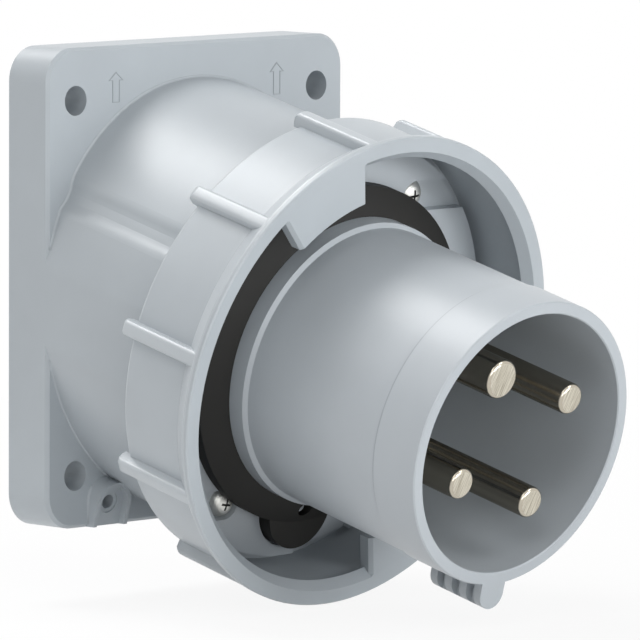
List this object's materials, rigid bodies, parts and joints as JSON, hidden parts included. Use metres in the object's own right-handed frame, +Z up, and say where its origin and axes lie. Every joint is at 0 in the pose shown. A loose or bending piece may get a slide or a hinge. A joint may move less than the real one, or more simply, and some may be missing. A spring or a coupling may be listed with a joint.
{
  "type": "panel mount power plug",
  "caption": "Angled panel mount inlet with a square flange, tilted neck, ribbed bayonet locking ring, round sleeve with a key, and turned contact pins.",
  "frame": {"origin": "centre of the flange's back face, in the middle of the four panel bolts", "axes": "+Z up, the flange faces -Y, the plug axis leaves the origin towards -Y and 14.5 degrees down, +X across the flange"},
  "size_m": [0.1228, 0.1364, 0.139],
  "materials": {
    "grey_housing": "light grey moulded polyamide, satin",
    "grey_ring": "light grey moulded polyamide, satin",
    "grey_sleeve": "light grey moulded polyamide, satin",
    "grey_carrier": "mid grey moulded polyamide, satin",
    "black_rubber": "black moulded rubber",
    "nickel_pins": "nickel-plated turned brass",
    "steel_screws": "zinc-plated steel",
    "steel_pads": "stamped steel"
  },
  "bodies": {
    "body": {"housing": "grey_housing", "sleeve": "grey_sleeve", "front_gasket": "black_rubber", "body_seal": "black_rubber", "flange_seal": "black_rubber", "contact_carrier": "grey_carrier", "carrier_plate": "grey_carrier", "insert_screws": "steel_screws", "carrier_screws": "steel_screws", "pin_earth": "nickel_pins", "clamp_screw_earth": "steel_screws", "clamp_pad_earth": "steel_pads", "pin_line_1": "nickel_pins", "clamp_screw_line_1": "steel_screws", "clamp_pad_line_1": "steel_pads", "pin_line_2": "nickel_pins", "clamp_screw_line_2": "steel_screws", "clamp_pad_line_2": "steel_pads", "pin_line_3": "nickel_pins", "clamp_screw_line_3": "steel_screws", "clamp_pad_line_3": "steel_pads"},
    "ring": {"locking_ring": "grey_ring"}
  },
  "joints": [
    {"name": "ring_turn", "type": "hinge", "parent": "body", "child": "ring", "pos_m": [0, -0.06245, -0.01615], "axis": [0, 0.9681, 0.2504], "range_deg": [0, 45]}
  ]
}
